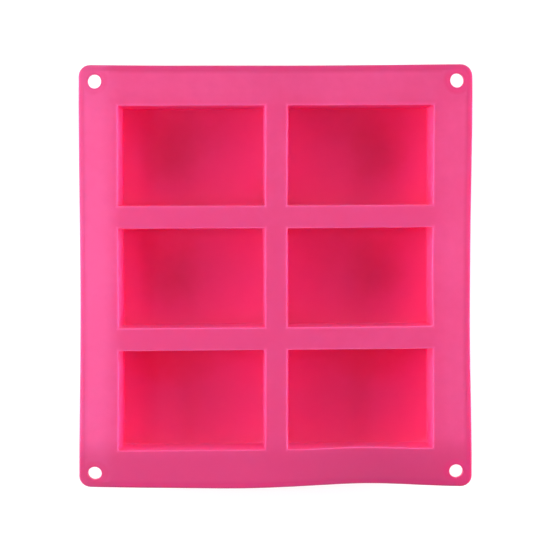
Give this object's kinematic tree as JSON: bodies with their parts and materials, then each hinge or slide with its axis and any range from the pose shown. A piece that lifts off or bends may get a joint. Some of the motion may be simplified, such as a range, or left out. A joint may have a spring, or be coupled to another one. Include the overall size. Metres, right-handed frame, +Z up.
{
  "type": "soap mould",
  "caption": "Flexible silicone soap bar mould: a flat deck with rectangular drafted cavities in two columns, a thickened rim and a hanging hole in each corner.",
  "frame": {"origin": "midway between the two columns of cavities, under the middle row, on the plane of the cup undersides", "axes": "+Z up, out of the open cavities; +X to the right, across the two columns; +Y to the back, along the three rows"},
  "size_m": [0.2134, 0.229, 0.0265],
  "materials": {
    "silicone": "satin"
  },
  "bodies": {
    "root": {"top_deck": "silicone", "cavity_cup_back_left": "silicone", "cavity_cup_back_right": "silicone", "cavity_cup_middle_left": "silicone", "cavity_cup_middle_right": "silicone", "cavity_cup_front_left": "silicone", "cavity_cup_front_right": "silicone", "rim_bead_left": "silicone", "rim_bead_right": "silicone", "rim_bead_front": "silicone", "rim_bead_back": "silicone", "corner_eyelet_back_left": "silicone", "corner_eyelet_back_right": "silicone", "corner_eyelet_front_left": "silicone", "corner_eyelet_front_right": "silicone"}
  },
  "joints": []
}
